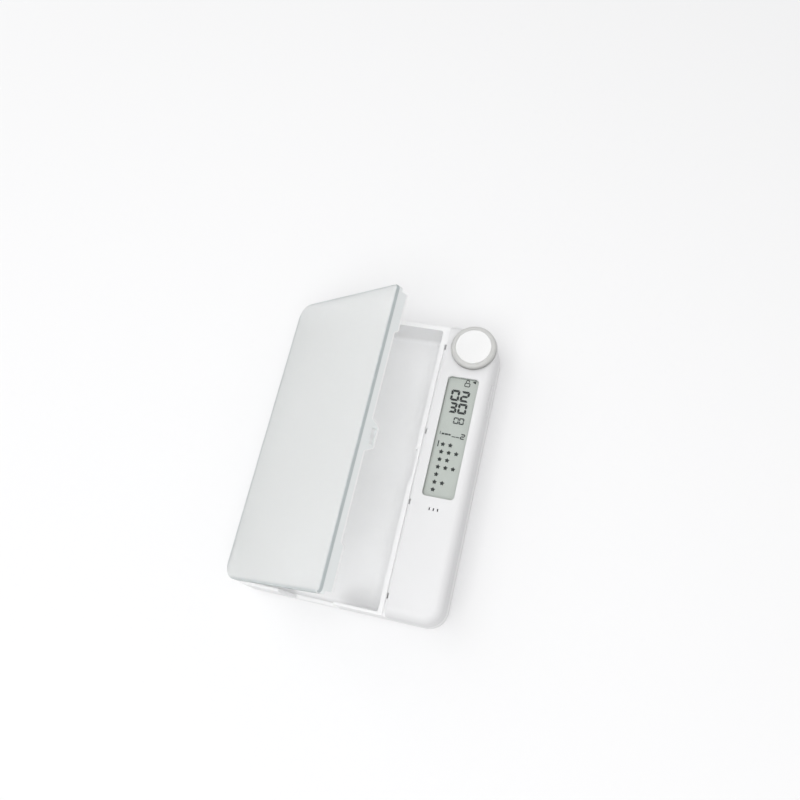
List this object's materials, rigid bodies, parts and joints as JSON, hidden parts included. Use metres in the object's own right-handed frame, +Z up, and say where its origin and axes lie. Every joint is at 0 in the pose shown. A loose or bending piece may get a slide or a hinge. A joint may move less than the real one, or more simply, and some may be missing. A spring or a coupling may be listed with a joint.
{
  "type": "timed lock container",
  "caption": "Desk-top container with a shallow open tray, a frosted hinged lid locked by a motor-driven bolt, and a timer module with a press-and-turn dial and a display.",
  "frame": {"origin": "centre of the case on the surface that it stands on", "axes": "+X to the side with the control module, +Y from the near end (lead notch) to the end with the dial, +Z up. At rest the lid stands open 35.5 degrees, as pictured; -35.5 degrees on its hinge shuts it."},
  "size_m": [0.139, 0.191, 0.0825],
  "materials": {
    "shell_white": "fine satin moulding",
    "lid_frosted": "frosted, translucent",
    "dial_smoke": "smoky translucent, polished",
    "dial_white": "satin",
    "window_clear": "clear, polished",
    "lcd_glass": "grey-green reflective display",
    "button_white": "satin",
    "diffuser_white": "milky",
    "moulding_dark": "moulded black",
    "board_green": "solder resist",
    "steel": "zinc plated",
    "led_clear": "clear epoxy",
    "latch_grey": "self-lubricating moulding",
    "brass": "turned and hobbed",
    "cell_wrap": "plain wrapped can",
    "contact_steel": "nickel plated",
    "rubber": "soft, matte"
  },
  "bodies": {
    "case": {"base_shell": "shell_white", "module_cover": "shell_white", "display_window": "window_clear", "lcd_panel": "lcd_glass", "lcd_backlight": "diffuser_white", "lcd_frame": "moulding_dark", "main_board": "board_green", "control_chip": "moulding_dark", "buzzer": "moulding_dark", "board_screws": "steel", "case_screws": "steel", "dial_board": "board_green", "encoder_body": "moulding_dark", "indicator_led": "led_clear", "side_switch": "moulding_dark", "reset_switch": "moulding_dark", "latch_gearbox": "latch_grey", "latch_motor": "steel", "latch_guide": "latch_grey", "hinge_pin_near": "steel", "hinge_pin_far": "steel", "battery_cell_left": "cell_wrap", "battery_cell_right": "cell_wrap", "spring_contacts": "contact_steel", "plate_contacts": "contact_steel", "rubber_feet": "rubber"},
    "lid": {"lid_cover": "lid_frosted"},
    "dial_press": {"press_plunger": "moulding_dark"},
    "dial": {"dial_ring": "dial_smoke", "dial_cap": "dial_white", "dial_shaft": "steel"},
    "side_key": {"side_button": "button_white"},
    "reset_key": {"reset_plunger": "button_white"},
    "latch_drive": {"latch_pinion": "brass", "latch_shaft": "steel"},
    "bolt": {"latch_bolt": "latch_grey"},
    "door": {"battery_door": "shell_white"}
  },
  "joints": [
    {"name": "lid_hinge", "type": "hinge", "parent": "case", "child": "lid", "pos_m": [-0.0645, 0, 0.0226], "axis": [0, -1, 0], "range_deg": [-35.5, 62.5]},
    {"name": "dial_push", "type": "slide", "parent": "case", "child": "dial_press", "axis": [0, 0, -1], "range_m": [0, 0.0006], "stiffness_N_per_m": 2000, "springref_m": -0.0005},
    {"name": "dial_turn", "type": "hinge", "parent": "dial_press", "child": "dial", "pos_m": [0.0523, 0.0803, 0.0314], "axis": [0, 0, 1], "continuous": true},
    {"name": "side_button_push", "type": "slide", "parent": "case", "child": "side_key", "axis": [-1, 0, 0], "range_m": [0, 0.0006], "stiffness_N_per_m": 1500, "springref_m": -0.0004},
    {"name": "reset_push", "type": "slide", "parent": "case", "child": "reset_key", "axis": [0, 0, 1], "range_m": [0, 0.0006], "stiffness_N_per_m": 400, "springref_m": -0.0005},
    {"name": "latch_turn", "type": "hinge", "parent": "case", "child": "latch_drive", "pos_m": [0.0466, -0.001, 0.0124], "axis": [0, -1, 0], "range_deg": [0, 45.36]},
    {"name": "bolt_slide", "type": "slide", "parent": "case", "child": "bolt", "axis": [-1, 0, 0], "range_m": [0, 0.0038]},
    {"name": "door_slide", "type": "slide", "parent": "case", "child": "door", "axis": [0, -1, 0], "range_m": [0, 0.005]}
  ],
  "couplings": [
    {"joint": "latch_turn", "follows": "bolt_slide", "rad_per_m": 208.33}
  ]
}
